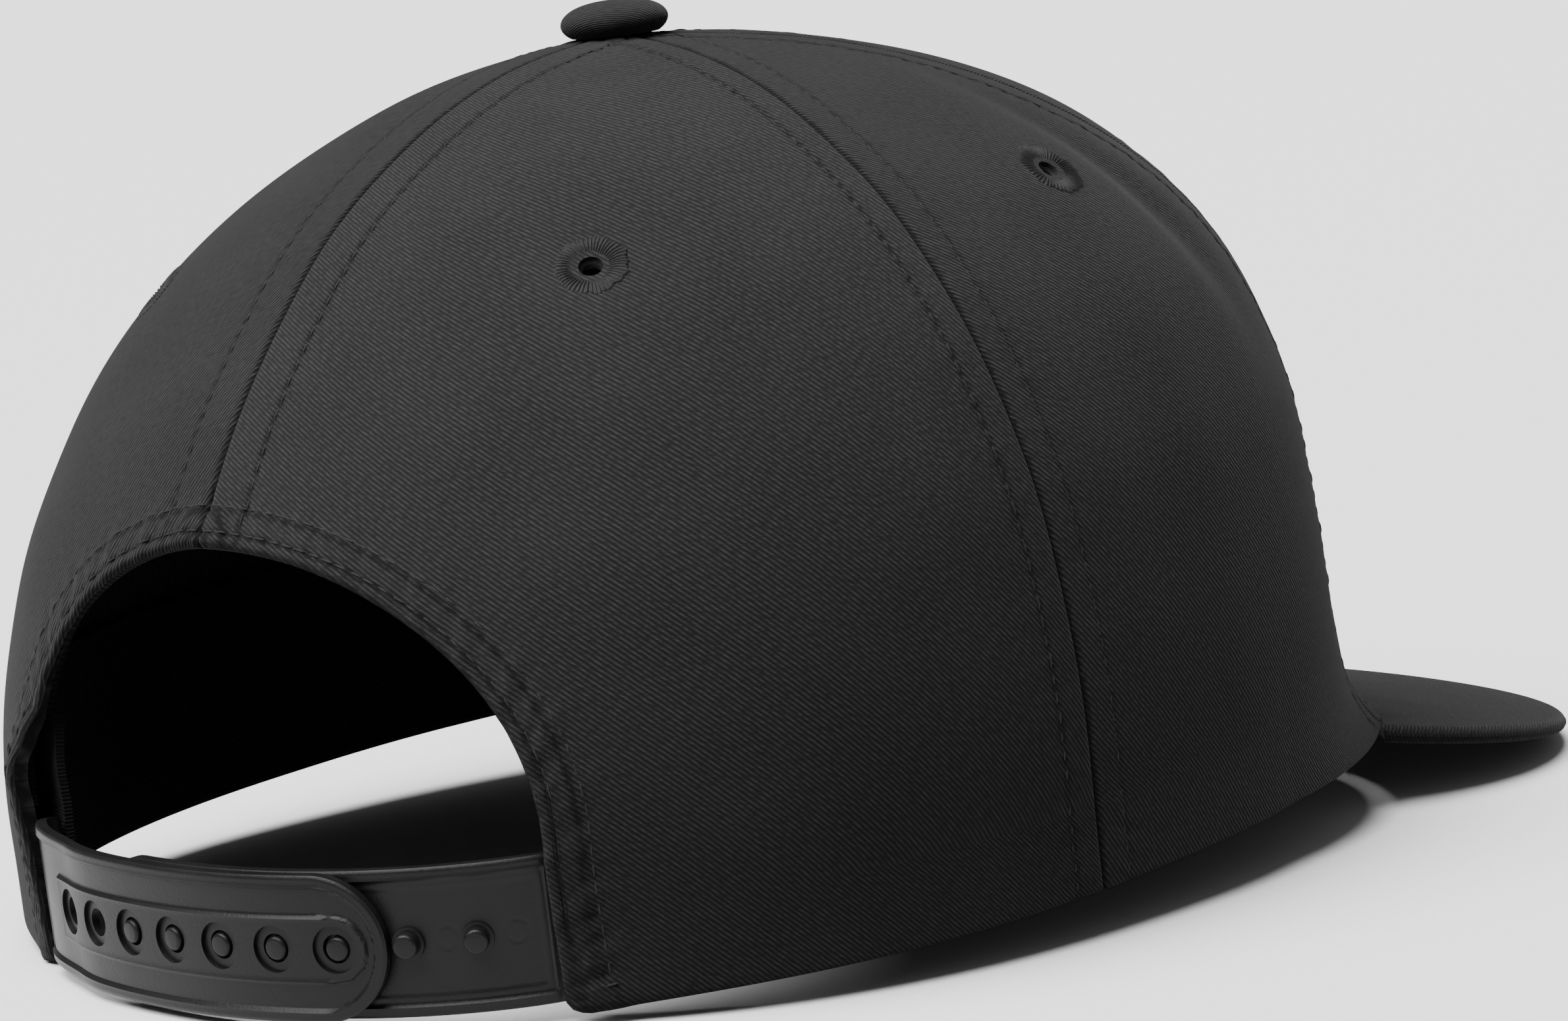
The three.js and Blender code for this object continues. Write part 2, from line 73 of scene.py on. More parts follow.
def smooth(value, low, high):
    share = np.clip((value - low) / (high - low), 0, 1)
    return share * share * (3 - 2 * share)


def hill(value, middle, width):
    return np.exp(-(((value - middle) / width) ** 2))


def signedPower(value, power):
    return np.sign(value) * np.abs(value) ** power


def around(key, cosine):
    back, side, front = crown[key]
    return side + (back - front) / 2 * cosine + ((back + front) / 2 - side) * cosine**2


def heightOf(turn, climb):
    upward = around("upward", np.cos(np.radians(turn)))
    arc = np.sin(np.clip(climb, 0, 1) * np.pi / 2) ** (2 / upward)
    rounded = crown["upright"] + (crown["height"] - crown["upright"]) * arc
    return np.where(climb < 0, crown["upright"] * (1 + climb / crown["uprightShare"]), rounded)


def climbOf(turn, height):
    upward = around("upward", np.cos(np.radians(turn)))
    share = (height - crown["upright"]) / (crown["height"] - crown["upright"])
    arc = np.arcsin(np.clip(share, 0, 1) ** (upward / 2)) * 2 / np.pi
    return np.where(share < 0, crown["uprightShare"] * (height / crown["upright"] - 1), arc)


def facePoint(turn, climb):
    turn, climb = np.broadcast_arrays(np.asarray(turn, float), np.asarray(climb, float))
    cosine, sine = np.cos(np.radians(turn)), np.sin(np.radians(turn))
    height = heightOf(turn, climb)
    reach = np.cos(np.clip(climb, 0, 1) * np.pi / 2) ** (2 / around("inward", cosine))
    x = -crown["rimWidth"] / 2 * signedPower(sine, 2 / crown["squareness"])
    y = crown["rimLength"] / 2 * signedPower(cosine, 2 / crown["squareness"])
    ahead = crown["apexForward"]
    length = np.hypot(x, y + ahead)
    fading = np.exp(-height / crown["flareHeight"])
    lean = crown["flareReach"] * np.clip((-cosine - 0.3) / 0.7, 0, 1) * fading
    for dentTurn, dentHeight, deep, halfTurn, halfHeight in crown["dents"]:
        across = ((turn - dentTurn + 540) % 360 - 180) / halfTurn
        along = (height / crown["height"] - dentHeight) / halfHeight
        lean = lean - deep * crown["height"] * np.exp(-across * across - along * along)
    out = np.stack([x, y + ahead, np.zeros_like(x)], -1) / length[..., None]
    point = np.stack([x * reach, (y + ahead) * reach - ahead, height], -1)
    return point + out * lean[..., None]


def faceNormal(turn, climb):
    low = np.minimum(climb, 0.992)
    along = facePoint(turn + 0.4, low) - facePoint(turn - 0.4, low)
    upwards = facePoint(turn, low + 0.004) - facePoint(turn, low - 0.004)
    normal = np.cross(along, upwards)
    return normal / np.linalg.norm(normal, axis=-1, keepdims=True)


def turnAcross(across, height):
    turns = np.linspace(0, 88, 881)
    across, height = np.broadcast_arrays(np.asarray(across, float), np.asarray(height, float))
    found = np.empty(across.shape)
    for place, (wide, high) in enumerate(zip(across.ravel(), height.ravel())):
        reach = -facePoint(turns, climbOf(turns, high))[:, 0]
        found.flat[place] = math.copysign(np.interp(abs(wide), reach, turns), wide)
    return found


def arcLengths(points):
    steps = np.linalg.norm(np.diff(points, axis=0), axis=1)
    return np.concatenate([[0], np.cumsum(steps)])


# Materials. Every colour is sRGB hex and goes through srgb().
def srgb(text):
    parts = [int(text[i : i + 2], 16) / 255 for i in (1, 3, 5)]
    return [p / 12.92 if p <= 0.04045 else ((p + 0.055) / 1.055) ** 2.4 for p in parts] + [1]


def addNode(tree, kind, links=None, **settings):
    # settings are the node's own properties; links feed its inputs from a value, a socket or a node
    node = tree.nodes.new(kind)
    for key, value in settings.items():
        setattr(node, key, value)
    for key, value in (links or {}).items():
        if isinstance(value, bpy.types.Node):
            value = value.outputs[0]
        if isinstance(value, bpy.types.NodeSocket):
            tree.links.new(value, node.inputs[key])
        else:
            node.inputs[key].default_value = value
    return node


def newMaterial(name):
    material = bpy.data.materials.new(name)
    material.use_nodes = True
    tree = material.node_tree
    return material, tree, tree.nodes["Principled BSDF"]


twill = {
    "pitch": 0.57,  # from one diagonal rib to the next
    "float": 1.5,  # length of the yarn floats along a rib
    # valley and ridge are painted shade in the rib valleys and a painted highlight on the rib tops
    "valley": "#131313",
    "ridge": "#383838",
    "roughness": 0.9,
    "sheen": 0.06,
    "bump": 0.13,
}


def clothMaterial(name, ribs):
    # Woven and piece-dyed black cotton twill: round diagonal ribs of matt yarn, with a fine fuzz.
    # U runs across the ribs and V along them, both in metres. groove is painted shade along the sunken seams
    # and their stitch rows, which darkens the colour there.
    material, tree, shader = newMaterial(name)
    place = addNode(tree, "ShaderNodeUVMap", uv_map="cloth")
    split = addNode(tree, "ShaderNodeSeparateXYZ", {0: place})
    drift = addNode(tree, "ShaderNodeTexNoise", {"Vector": place, "Scale": 160.0, "Detail": 2.0})
    sway = addNode(tree, "ShaderNodeMath", {0: drift, 1: 0.5}, operation="SUBTRACT")
    across = addNode(tree, "ShaderNodeMath", {0: sway, 1: 0.0002, 2: split}, operation="MULTIPLY_ADD")
    turns = 2 * math.pi / (ribs["pitch"] * 0.001)
    angle = addNode(tree, "ShaderNodeMath", {0: across, 1: turns}, operation="MULTIPLY")
    wave = addNode(tree, "ShaderNodeMath", {0: angle}, operation="SINE")
    rib = addNode(tree, "ShaderNodeMath", {0: wave, 1: 0.5, 2: 0.5}, operation="MULTIPLY_ADD")
    scale = (1000 / ribs["pitch"], 1000 / ribs["float"], 1)
    stretch = addNode(tree, "ShaderNodeMapping", {"Vector": place, "Scale": scale})
    yarn = addNode(tree, "ShaderNodeTexNoise", {"Vector": stretch, "Scale": 1.3, "Detail": 3.0})
    fuzz = addNode(tree, "ShaderNodeTexNoise", {"Vector": place, "Scale": 5200.0, "Detail": 2.0})
    patch = addNode(tree, "ShaderNodeTexNoise", {"Vector": place, "Scale": 55.0, "Detail": 3.0})
    raised = addNode(tree, "ShaderNodeMath", {0: yarn, 1: 2.3, 2: -0.45}, operation="MULTIPLY_ADD")
    floats = addNode(tree, "ShaderNodeMath", {0: rib, 1: raised}, operation="MULTIPLY")
    uneven = addNode(tree, "ShaderNodeMath", {0: patch, 1: 0.25, 2: -0.125}, operation="MULTIPLY_ADD")
    fuzzy = addNode(tree, "ShaderNodeMath", {0: fuzz, 1: 0.22, 2: uneven}, operation="MULTIPLY_ADD")
    tone = addNode(tree, "ShaderNodeMath", {0: floats, 1: 0.8, 2: fuzzy}, operation="MULTIPLY_ADD")
    # painted shade: the groove attribute darkens the weave's colour along sunk seams and stitch rows
    paintedSeamShade = addNode(tree, "ShaderNodeAttribute", attribute_name="groove").outputs["Fac"]
    tone = addNode(tree, "ShaderNodeMath", {0: paintedSeamShade, 1: -0.75, 2: tone}, operation="MULTIPLY_ADD")
    # the ramp paints shade into the rib valleys and a highlight onto the rib tops; fuzz and patches are the
    # yarn's own uneven tone
    colour = addNode(tree, "ShaderNodeValToRGB", {"Fac": tone})
    for stop, position, shade in zip(colour.color_ramp.elements, (0, 0.95), ("valley", "ridge")):
        stop.position, stop.color = position, srgb(ribs[shade])
    low = ribs["roughness"] - 0.07
    rough = addNode(tree, "ShaderNodeMath", {0: fuzz, 1: 0.14, 2: low}, operation="MULTIPLY_ADD")
    relief = addNode(tree, "ShaderNodeMath", {0: fuzz, 1: 0.35, 2: floats}, operation="MULTIPLY_ADD")
    depth = ribs["bump"] * 0.001
    bump = addNode(tree, "ShaderNodeBump", {"Height": relief, "Distance": depth, "Strength": 0.8})
    tree.links.new(colour.outputs[0], shader.inputs["Base Color"])
    tree.links.new(rough.outputs[0], shader.inputs["Roughness"])
    tree.links.new(bump.outputs[0], shader.inputs["Normal"])
    shader.inputs["Sheen Weight"].default_value = ribs["sheen"]
    shader.inputs["Sheen Roughness"].default_value = 0.5
    shader.inputs["Specular IOR Level"].default_value = 0.09
    return material


ribbing = {
    "pitch": 0.55,
    "float": 4.0,
    # valley and ridge are painted shade in the rib valleys and a painted highlight on the rib tops
    "valley": "#0b0b0c",
    "ridge": "#232325",
    "roughness": 0.92,
    "sheen": 0.05,
    "bump": 0.2,
}

sewing = {"dark": "#090909", "light": "#181818", "ply": 2600.0}


def threadMaterial():
    # Spun polyester sewing thread: a slight sheen and a twisted ply.
    material, tree, shader = newMaterial("blackSewingThread")
    place = addNode(tree, "ShaderNodeTexCoord").outputs["Object"]
    ply = addNode(tree, "ShaderNodeTexNoise", {"Vector": place, "Scale": sewing["ply"], "Detail": 2.0})
    colour = addNode(tree, "ShaderNodeValToRGB", {"Fac": ply})
    for stop, position, shade in zip(colour.color_ramp.elements, (0.3, 0.7), ("dark", "light")):
        stop.position, stop.color = position, srgb(sewing[shade])
    bump = addNode(tree, "ShaderNodeBump", {"Height": ply, "Distance": 0.0001, "Strength": 0.7})
    tree.links.new(colour.outputs[0], shader.inputs["Base Color"])
    tree.links.new(bump.outputs[0], shader.inputs["Normal"])
    shader.inputs["Roughness"].default_value = 0.65
    shader.inputs["Sheen Weight"].default_value = 0.04
    shader.inputs["Specular IOR Level"].default_value = 0.3
    return material


moulded = {"dark": "#101010", "light": "#191919", "roughness": 0.4, "grain": 2500.0}


def plasticMaterial():
    # Injection-moulded polyethylene: satin, with a fine spark-eroded grain and faint handling marks.
    material, tree, shader = newMaterial("blackMouldedPolyethylene")
    place = addNode(tree, "ShaderNodeTexCoord").outputs["Object"]
    cloud = addNode(tree, "ShaderNodeTexNoise", {"Vector": place, "Scale": 90.0, "Detail": 4.0})
    grain = addNode(tree, "ShaderNodeTexNoise", {"Vector": place, "Scale": moulded["grain"], "Detail": 3.0})
    colour = addNode(tree, "ShaderNodeValToRGB", {"Fac": cloud})
    for stop, position, shade in zip(colour.color_ramp.elements, (0.3, 0.7), ("dark", "light")):
        stop.position, stop.color = position, srgb(moulded[shade])
    low = moulded["roughness"] - 0.08
    rough = addNode(tree, "ShaderNodeMath", {0: cloud, 1: 0.16, 2: low}, operation="MULTIPLY_ADD")
    bump = addNode(tree, "ShaderNodeBump", {"Height": grain, "Distance": 0.00006, "Strength": 0.6})
    tree.links.new(colour.outputs[0], shader.inputs["Base Color"])
    tree.links.new(rough.outputs[0], shader.inputs["Roughness"])
    tree.links.new(bump.outputs[0], shader.inputs["Normal"])
    shader.inputs["Specular IOR Level"].default_value = 0.2
    return material


cotton = clothMaterial("blackCottonTwill", twill)
band = clothMaterial("blackRibbedBand", ribbing)
thread = threadMaterial()
plastic = plasticMaterial()
print("materials made")


# Modelling helpers
def gridPiece(name, columns, rows, place, wall, relief=None, cloth=None, groove=None):
    # a sheet with a wall: place gives points by share across and up, relief lifts its outer face
    bpy.ops.object.select_all(action="DESELECT")
    bpy.ops.mesh.primitive_grid_add(x_subdivisions=columns, y_subdivisions=rows, size=1)
    piece = bpy.context.object
    piece.name = piece.data.name = name
    flat = np.empty(len(piece.data.vertices) * 3)
    piece.data.vertices.foreach_get("co", flat)
    shares = flat.reshape(-1, 3)[:, :2] + 0.5
    points, normals = place(shares[:, 0], shares[:, 1])
    piece.data.vertices.foreach_set("co", toScene(points).ravel())
    if cloth:
        corners = np.empty(len(piece.data.loops), int)
        piece.data.loops.foreach_get("vertex_index", corners)
        piece.data.uv_layers[0].name = "cloth"
        uv = np.asarray(cloth(shares[:, 0], shares[:, 1])) * 0.001
        piece.data.uv_layers[0].data.foreach_set("uv", uv.T[corners].ravel())
    solid = piece.modifiers.new("wall", "SOLIDIFY")
    solid.thickness, solid.offset = 0.001, -1
    bpy.ops.object.modifier_apply(modifier="wall")
    lift = relief(shares[:, 0], shares[:, 1]) if relief else np.zeros(len(points))
    depth = wall(shares[:, 0], shares[:, 1]) if callable(wall) else np.full(len(points), wall)
    outer = points + normals * lift[:, None]
    # the inner face follows only the large bows of a sewn wall, not its stitches
    inner = outer if callable(wall) else points + normals * np.maximum(0, lift - 0.6)[:, None]
    inner = inner - normals * depth[:, None]
    piece.data.vertices.foreach_set("co", toScene(np.vstack([outer, inner])).ravel())
    # groove is painted shade, stored on the outer face's points for the cloth material to darken
    if groove:
        dark = np.concatenate([groove(shares[:, 0], shares[:, 1]), np.zeros(len(points))])
        piece.data.attributes.new("groove", "FLOAT", "POINT").data.foreach_set("value", dark)
    bpy.ops.object.shade_smooth_by_angle(angle=math.radians(50))
    piece.data.update()
    return piece


def finishPiece(piece, material, slot, *nodes):
    piece.data.materials.clear()
    piece.data.materials.append(material)
    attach(piece, "root")
    if nodes:
        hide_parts(*nodes)
    return piece


# The arch over the strap: outlines from the middle seam down each leg, as (across, height).
arch = {
    "height": 57,
    "right": {"reach": 54.5, "leg": 19.1, "squareness": 2.12, "drop": 1.5},
    "left": {"reach": 36.5, "leg": 26, "squareness": 1.9, "drop": 2},
    "splay": 0.6,
    "corner": 2,  # radius of the foot's corner
}
# On the wearer's left the strap pulls the leg, so its edge bows out above the strap.
legBow = {"heights": (0, 8, 16.5, 21.5, 26, 30, 34), "lifts": (0.3, 0.8, 1.4, 2.4, 3, 1.6, 0), "width": 7}


def archOutline(side):
    form = arch[side]
    angle = np.radians(np.linspace(90, 0, 80))
    across = form["reach"] * np.cos(angle) ** (2 / form["squareness"])
    height = form["leg"] + (arch["height"] - form["leg"]) * np.sin(angle) ** (2 / form["squareness"])
    corner = arch["corner"]
    bend = np.radians(np.linspace(0, 90, 9))
    foot = form["reach"] + arch["splay"]
    arc = np.stack([foot + corner * (1 - np.cos(bend)), -form["drop"] + corner * (1 - np.sin(bend))], -1)
    line = np.vstack([np.stack([across, height], -1), arc])
    dense = np.linspace(0, arcLengths(line)[-1], 400)
    return np.stack([np.interp(dense, arcLengths(line), line[:, k]) for k in (0, 1)], -1)


def onFace(line, side):
    sign = 1 if side == "right" else -1
    turn = turnAcross(sign * np.maximum(line[:, 0], 1e-6), line[:, 1])
    return turn, climbOf(turn, line[:, 1])


archLines = {side: onFace(archOutline(side), side) for side in ("right", "left")}
archPoints = {side: facePoint(*archLines[side]) for side in archLines}
print("arch drawn")

# Flat-felled seams: a sharp valley, a padded allowance each side, and a sunk row of stitches
seam = {
    "turns": (0, 85.1, -85.1, 134.3, -134.3),
    "rows": (7.4, 5, 5, 5, 5),  # from each seam to its two rows of topstitch
    "stitch": 2.5,
    "valley": 0.4,
    "valleyWidth": 0.3,
    "allowance": 0.1,
    "groove": 0.22,
    "grooveWidth": 0.4,
    "pucker": 0.05,
    "puckerLengths": (7.1, 3.9),
    "puckerWidth": 2.6,
    "archRows": (1.9, 5),
    "thread": 0.3,
}
ripple = rng.uniform(0, 2 * np.pi, 24)  # phases of the puckers and of the cloth's slow waves


def seamArc(turn, climb):
    climbs = np.linspace(-0.13, 1, 400)
    return np.interp(climb, climbs, arcLengths(facePoint(np.full_like(climbs, turn), climbs)))


def seamRelief(distance, along, rows, pucker):
    padded = smooth(distance, 0.2, 1.2) * (1 - smooth(distance, rows[-1] - 0.2, rows[-1] + 0.8))
    lift = seam["allowance"] * padded - seam["valley"] * hill(distance, 0, seam["valleyWidth"])
    slow, quick = (2 * np.pi * along / length for length in seam["puckerLengths"])
    for number, row in enumerate(rows):
        beat = 0.6 + 0.4 * np.cos(2 * np.pi * along / seam["stitch"])
        lift = lift - seam["groove"] * hill(distance, row, seam["grooveWidth"]) * beat
        wave = np.sin(slow + ripple[number]) + 0.8 * np.sin(quick + distance * 0.9)
        lift = lift + pucker * wave * hill(distance, row, seam["puckerWidth"])
    return lift


def seamPaintedShade(distance, along, rows):
    # painted shade along a seam's valley and in the holes of its stitch rows
    shade = hill(distance, 0, 0.36 + 0.1 * np.cos(2 * np.pi * along / 1.3))
    for row in rows:
        beat = 0.55 + 0.35 * np.cos(2 * np.pi * along / seam["stitch"])
        shade = shade + beat * hill(distance, row, seam["grooveWidth"])
    return shade


def wobble(points):
    # slow unevenness of stiffened cloth, a few tenths of a millimetre
    total = 0
    for k, size in enumerate((74, 51, 37, 26, 19)):
        for axis in range(3):
            phase = ripple[3 * k + axis]
            total = total + np.sin(points[..., axis] * 2 * np.pi / size + phase) * size / 620
    return total


def nearest(points, line):
    # distance of each point from a line of points, and how far along the line that is
    along = arcLengths(line)
    best = np.full(len(points), 1e9)
    where = np.zeros(len(points))
    for k in range(len(line)):
        gap = np.linalg.norm(points - line[k], axis=1)
        closer = gap < best
        best[closer] = gap[closer]
        where[closer] = along[k]
    return best, where


eyelet = {
    "spots": (
        ("eyelet_back_right", "back_panel_right", 42.3, 0.781),
        ("eyelet_back_left", "back_panel_left", -40, 0.755),
        ("eyelet_side_right", "side_panel_right", 108.7, 0.795),
        ("eyelet_side_left", "side_panel_left", -108.7, 0.795),
    ),
    "hole": 1.25,
    "rim": 4.9,
    "threads": 50,
    "threadHeight": 0.13,
    "dip": 0.5,
    "dipWidth": 3.6,
}


def eyeletCentre(turn, height):
    climb = climbOf(np.array([turn]), np.array([height * crown["height"]]))
    return climb, facePoint(turn, climb)[0], faceNormal(turn, climb)[0]


# The crown swings out over each end of the peak.
flare = {"turn": 138, "lift": 2.4, "halfTurn": 22, "height": 5}


def frontFlare(turn, height):
    away = np.abs((turn + 180) % 360 - 180) - flare["turn"]
    fading = np.exp(-np.maximum(height, 0) / flare["height"])
    return flare["lift"] * hill(away, 0, flare["halfTurn"]) * fading


def legLift(points, distance):
    bow = np.interp(points[:, 2], legBow["heights"], legBow["lifts"])
    return bow * np.exp(-((distance / legBow["width"]) ** 2))


def crownLift(turn, climb, dips=True):
    # how far the sewn cloth stands off the plain crown
    turn = np.asarray(turn, float)
    points = facePoint(turn, climb)
    height = points[:, 2]
    lift = wobble(points) * smooth(height, 0, 25)
    for line, row in zip(seam["turns"], seam["rows"]):
        distance = np.linalg.norm(points - facePoint(np.full_like(turn, line), climb), axis=1)
        here = smooth(1 - climb, 0, 0.04)
        if line == 0:
            here = here * smooth(height, arch["height"] - 1, arch["height"] + 1)
        lift = lift + seamRelief(distance, seamArc(line, climb), (row,), seam["pucker"]) * here
    for side in ("right", "left"):
        distance, along = nearest(points, archPoints[side])
        near = smooth(-distance, -14, -10)
        lift = lift + seamRelief(distance, along, seam["archRows"], 2 * seam["pucker"]) * near
        lift = lift + 0.2 * smooth(distance, 0, 0.9) * (1 - smooth(distance, 5, 6.4))
        if side == "left":
            lift = lift + legLift(points, distance)
    if dips:
        for _, _, spotTurn, spotHeight in eyelet["spots"]:
            distance = np.linalg.norm(points - eyeletCentre(spotTurn, spotHeight)[1], axis=1)
            lift = lift - eyelet["dip"] * hill(distance, 0, eyelet["dipWidth"])
    return lift - 0.4 * hill(height, -1.4, 0.9) + frontFlare(turn, height)


def crownPaintedShade(turn, climb):
    # painted shade where the sewn cloth is sunk, along the seams and their stitch rows
    points = facePoint(turn, climb)
    shade = 0
    for line, row in zip(seam["turns"], seam["rows"]):
        distance = np.linalg.norm(points - facePoint(np.full_like(turn, line), climb), axis=1)
        here = smooth(points[:, 2], arch["height"] - 1, arch["height"] + 1) if line == 0 else 1
        shade = shade + seamPaintedShade(distance, seamArc(line, climb), (row,)) * here
    for side in ("right", "left"):
        shade = shade + seamPaintedShade(*nearest(points, archPoints[side]), seam["archRows"])
    return np.clip(shade, 0, 1)


# True lengths across the crown, for laying the weave without stretching it: a table with a row
# for each half degree round and a column for each fiftieth of the climb
flatTurns, flatClimbs = np.linspace(-140, 230, 741), np.linspace(-0.2, 1, 61)
flatPoints = facePoint(flatTurns[:, None], flatClimbs[None])
flatSteps = np.linalg.norm(np.diff(flatPoints, axis=0), axis=2)
flatArcs = np.concatenate([np.zeros((1, 61)), np.cumsum(flatSteps, axis=0)])


def arcAcross(turn, climb):
    column, row = (turn + 140) * 2, (climb + 0.2) * 50
    i, j = np.clip(column.astype(int), 0, 739), np.clip(row.astype(int), 0, 59)
    low = lerp(flatArcs[i, j], flatArcs[i + 1, j], column - i)
    high = lerp(flatArcs[i, j + 1], flatArcs[i + 1, j + 1], column - i)
    return lerp(low, high, row - j)


panels = (
    # name, seams, twill's lean in degrees, columns, side of the arch
    ("front_panel", (134.3, 225.7), 45, 160, None),
    ("side_panel_right", (85.1, 134.3), 60, 130, None),
    ("side_panel_left", (-134.3, -85.1), 60, 130, None),
    ("back_panel_right", (0, 85.1), 42, 200, "right"),
    ("back_panel_left", (-85.1, 0), 97, 200, "left"),
)


panelMesh = {"rows": 170, "rise": 1.4, "apexHole": 3.1}


def crowded(share, pull=0.5):
    # shares that lie closer together at both ends, where the seams are
    return share - pull * np.sin(2 * np.pi * share) / (2 * np.pi)


def makePanel(name, seams, lean, columns, side):
    low, high = seams
    if side is None:
        edgeShare = np.array([0.0, 1.0])
        edgeTurn, edgeClimb = np.array(seams, float), np.full(2, -crown["uprightShare"])
    else:
        turn, climb = archLines[side]
        rimTurn = np.linspace(turn[-1], math.copysign(seam["turns"][1], turn[-1]), 60)[1:]
        away = np.abs(rimTurn - turn[-1]) * 1.5
        rimClimb = lerp(-crown["uprightShare"], climb[-1], np.exp(-away / 14))
        edgeTurn, edgeClimb = np.concatenate([turn, rimTurn]), np.concatenate([climb, rimClimb])
        line = facePoint(edgeTurn, edgeClimb)
        edgeShare = arcLengths(line) / arcLengths(line)[-1]
        if side == "left":
            edgeTurn, edgeClimb, edgeShare = edgeTurn[::-1], edgeClimb[::-1], 1 - edgeShare[::-1]

    def spots(across, upward):
        share = crowded(across)
        topTurn = lerp(low, high, share)
        bottomTurn = np.interp(share, edgeShare, edgeTurn)
        bottomClimb = np.interp(share, edgeShare, edgeClimb)
        rim = facePoint(topTurn, np.full_like(topTurn, -0.001))
        width = np.hypot(rim[:, 0], rim[:, 1] + crown["apexForward"])
        inward = around("inward", np.cos(np.radians(topTurn)))
        topClimb = np.arccos((panelMesh["apexHole"] / width) ** (inward / 2)) * 2 / np.pi
        rise = upward ** panelMesh["rise"]
        turn = lerp(bottomTurn, topTurn, smooth(upward, 0, 0.85) if side else rise)
        return turn, lerp(bottomClimb, topClimb, rise)

    def place(across, upward):
        turn, climb = spots(across, upward)
        return facePoint(turn, climb), faceNormal(turn, climb)

    def relief(across, upward):
        return crownLift(*spots(across, upward))

    def cloth(across, upward):
        turn, climb = spots(across, upward)
        middle = (low + high) / 2
        x = arcAcross(turn, climb) - arcAcross(np.full_like(turn, middle), climb)
        y = seamArc(middle, climb) + 0.0022 * x**2  # flattened like the gore that it was cut as
        angle = math.radians(lean)
        return x * math.sin(angle) + y * math.cos(angle), x * math.cos(angle) - y * math.sin(angle)

    # painted shade for the seams, stored as the groove attribute
    def groove(across, upward):
        return crownPaintedShade(*spots(across, upward))

    mesh = (name + "_cloth", columns, panelMesh["rows"])
    piece = gridPiece(*mesh, place, crown["wall"], relief, cloth, groove)
    return finishPiece(piece, cotton, "twill", name)


for panel in panels:
    makePanel(*panel)
    print("made", panel[0])


# Stitches: one is modelled and copied along every sewn row
def stitchShape():
    bpy.ops.object.select_all(action="DESELECT")
    bpy.ops.mesh.primitive_uv_sphere_add(segments=6, ring_count=5, radius=1)
    bead = bpy.context.object
    points = np.array([v.co for v in bead.data.vertices])
    faces = [tuple(f.vertices) for f in bead.data.polygons]
    bpy.data.objects.remove(bead)
    return points, faces


beadPoints, beadFaces = stitchShape()


def stitchRow(turn, climb, start=1.2):
    # centres, directions and normals of the stitches along a line on the crown
    line = facePoint(turn, climb)
    along = arcLengths(line)
    middles = np.arange(start, along[-1] - 1, seam["stitch"])
    turns, climbs = np.interp(middles, along, turn), np.interp(middles, along, climb)
    centre = np.stack([np.interp(middles, along, line[:, k]) for k in range(3)], -1)
    ahead = np.stack([np.interp(middles + 0.5, along, line[:, k]) for k in range(3)], -1)
    behind = np.stack([np.interp(middles - 0.5, along, line[:, k]) for k in range(3)], -1)
    direction = ahead - behind
    normal = faceNormal(turns, climbs)
    centre = centre + normal * crownLift(turns, climbs)[:, None]
    return centre, direction / np.linalg.norm(direction, axis=1, keepdims=True), normal


def sewnPiece(name, rows, sink):
    vertices, faces = [], []
    for centre, direction, normal in rows:
        for c, d, n in zip(centre, direction, normal):
            side = np.cross(n, d)
            axes = np.stack([side * seam["thread"] / 2, n * seam["thread"] / 2, d * seam["stitch"] * 0.43])
            start = len(vertices) * len(beadPoints)
            arched = beadPoints.copy()
            arched[:, 1] -= 0.9 * beadPoints[:, 2] ** 2
            vertices.append(c + n * sink + arched @ axes)
            faces += [tuple(start + v for v in face) for face in beadFaces]
    mesh = bpy.data.meshes.new(name)
    mesh.from_pydata(toScene(np.vstack(vertices)).tolist(), [], faces)
    mesh.shade_smooth()
    piece = bpy.data.objects.new(name, mesh)
    bpy.context.collection.objects.link(piece)
    return finishPiece(piece, thread, "thread")


def besideSeam(line, row, sign):
    climbs = np.linspace(-0.115, 0.955, 300)
    turns = line + sign * np.linspace(0, 40, 801)
    spots = facePoint(turns[:, None], climbs[None])
    away = np.linalg.norm(spots - spots[:1], axis=2)
    return np.array([np.interp(row, away[:, k], turns) for k in range(300)]), climbs


rows = []
for line, row in zip(seam["turns"], seam["rows"]):
    for sign in (-1, 1):
        turn, climb = besideSeam(line, row, sign)
        if line == 0:
            keep = heightOf(turn, climb) > arch["height"] + 2
            turn, climb = turn[keep], climb[keep]
        rows.append(stitchRow(turn, climb))
sewnPiece("crown_topstitch", rows, 0.02)


def offsetOutline(side, grow):
    line = archOutline(side)
    step = np.gradient(line, axis=0)
    step /= np.linalg.norm(step, axis=1, keepdims=True)
    moved = line + np.stack([-step[:, 1], step[:, 0]], -1) * grow
    keep = (moved[:, 1] > 1) & (moved[:, 0] > 0.3)
    return moved[keep]


rows = []
for side in ("right", "left"):
    for grow in seam["archRows"]:
        line = offsetOutline(side, grow)
        line = line[line[:, 1] > (24 if grow < 4 else 2)]
        rows.append(stitchRow(*onFace(line[::3], side)))
sewnPiece("arch_topstitch", rows, 0.02)
print("stitches made")


# Eyelets: a hole through two layers, bound with radial stitches that sink into the cloth
def joined(pieces):
    bpy.ops.object.select_all(action="DESELECT")
    for piece in pieces:
        piece.select_set(True)
    bpy.context.view_layer.objects.active = pieces[0]
    if len(pieces) > 1:
        bpy.ops.object.join()
    return pieces[0]


def cutWith(piece, cutters, operation="DIFFERENCE"):
    cutter = joined(cutters)
    bpy.ops.object.select_all(action="DESELECT")
    bpy.context.view_layer.objects.active = piece
    cut = piece.modifiers.new("cut", "BOOLEAN")
    cut.operation, cut.object, cut.solver = operation, cutter, "EXACT"
    bpy.ops.object.modifier_apply(modifier="cut")
    bpy.data.objects.remove(cutter)


